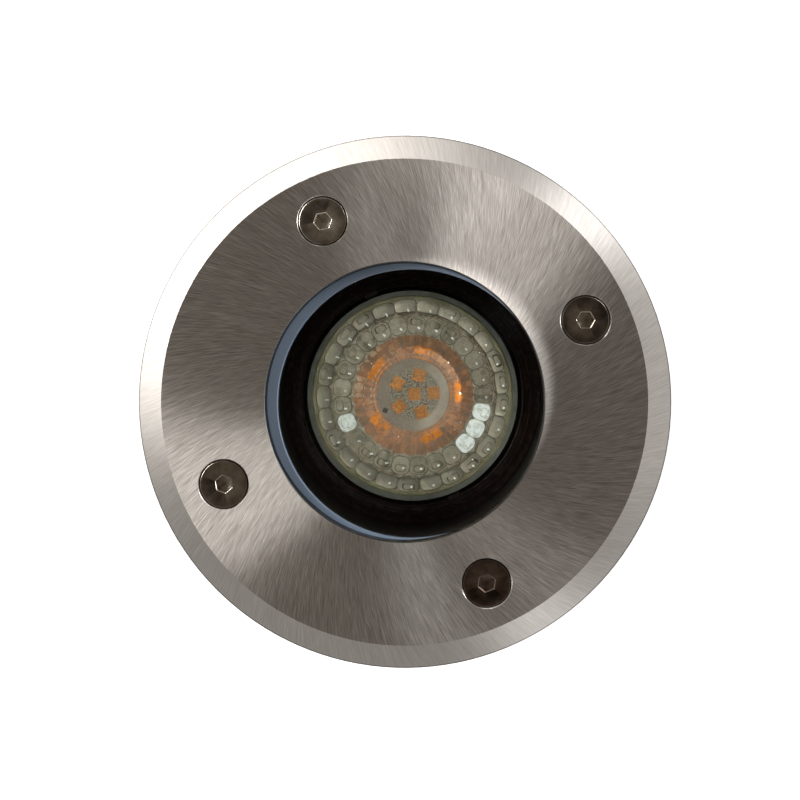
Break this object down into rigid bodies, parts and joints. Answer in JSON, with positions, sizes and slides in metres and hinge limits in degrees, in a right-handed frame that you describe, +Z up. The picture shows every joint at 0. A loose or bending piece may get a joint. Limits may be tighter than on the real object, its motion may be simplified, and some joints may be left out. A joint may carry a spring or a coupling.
{
  "type": "in ground well light",
  "caption": "Round recessed walk-over ground light: bevelled stainless bezel with countersunk screws over a glass-covered well with a GU10 lamp.",
  "frame": {"origin": "centre of the base cap's flat underside", "axes": "+Z up along the light's axis towards the glass, -Y towards the cable gland, bezel screws on the diagonals"},
  "size_m": [0.11, 0.11, 0.128],
  "materials": {
    "stainless": "brushed stainless steel, radial swirl",
    "screw_steel": "polished stainless",
    "silicone": "smooth blue-grey silicone",
    "clear_glass": "polished toughened glass",
    "black_casting": "black powder coat on cast aluminium",
    "brass": "plain brass",
    "black_plastic": "satin black moulding with turned lines",
    "lamp_glass": "clear pressed glass",
    "white_plastic": "white moulding",
    "nickel_pin": "nickel plated",
    "reflector_aluminium": "bright pressed dish",
    "lens_plastic": "clear moulded plastic",
    "board_white": "white solder mask",
    "led_phosphor": "orange-yellow phosphor",
    "board_green": "green solder mask",
    "ceramic": "glazed ceramic",
    "copper_contact": "copper alloy spring",
    "zinc_screw": "zinc plated",
    "zinc_strap": "zinc plated sheet",
    "terminal_plastic": "natural polyamide",
    "black_rubber": "black rubber",
    "gland_plastic": "black polyamide"
  },
  "bodies": {
    "housing": {"housing": "black_casting", "base_cap": "black_casting", "cooling_fins": "black_casting", "lower_gasket": "silicone", "threaded_inserts": "brass", "lamp_ring": "black_plastic", "lampholder_cover": "ceramic", "lampholder_body": "ceramic", "lampholder_contacts": "copper_contact", "lampholder_screws": "zinc_screw", "lampholder_bracket": "zinc_strap", "bracket_screws": "zinc_screw", "terminal_block": "terminal_plastic", "terminal_tubes": "brass", "terminal_screws": "zinc_screw", "gland_washer": "black_rubber", "gland_body": "gland_plastic", "gland_locknut": "gland_plastic", "gland_seal": "black_rubber"},
    "cover": {"bezel_plate": "stainless", "bezel_screws": "screw_steel", "top_gasket": "silicone"},
    "glass": {"glass_disc": "clear_glass"},
    "lamp": {"lamp_cup": "lamp_glass", "lamp_base": "white_plastic", "lamp_pins": "nickel_pin", "lamp_heatsink": "reflector_aluminium", "lamp_lens": "lens_plastic", "led_board": "board_white", "led_chips": "led_phosphor", "driver_board": "board_green"},
    "gland_nut": {"gland_nut": "gland_plastic"}
  },
  "joints": [
    {"name": "cover_lift", "type": "slide", "parent": "housing", "child": "cover", "axis": [0, 0, 1], "range_m": [0, 0.08]},
    {"name": "glass_lift", "type": "slide", "parent": "housing", "child": "glass", "axis": [0, 0, 1], "range_m": [0, 0.04]},
    {"name": "lamp_twist", "type": "hinge", "parent": "housing", "child": "lamp", "pos_m": [0, 0, 0.06], "axis": [0, 0, 1], "range_deg": [0, 35]},
    {"name": "gland_nut_turn", "type": "hinge", "parent": "housing", "child": "gland_nut", "pos_m": [0, -0.04, 0.019], "axis": [0, -1, 0], "range_deg": [0, 360]}
  ],
  "couplings": [
    {"joint": "glass_lift", "follows": "cover_lift", "ratio": 0.5}
  ]
}
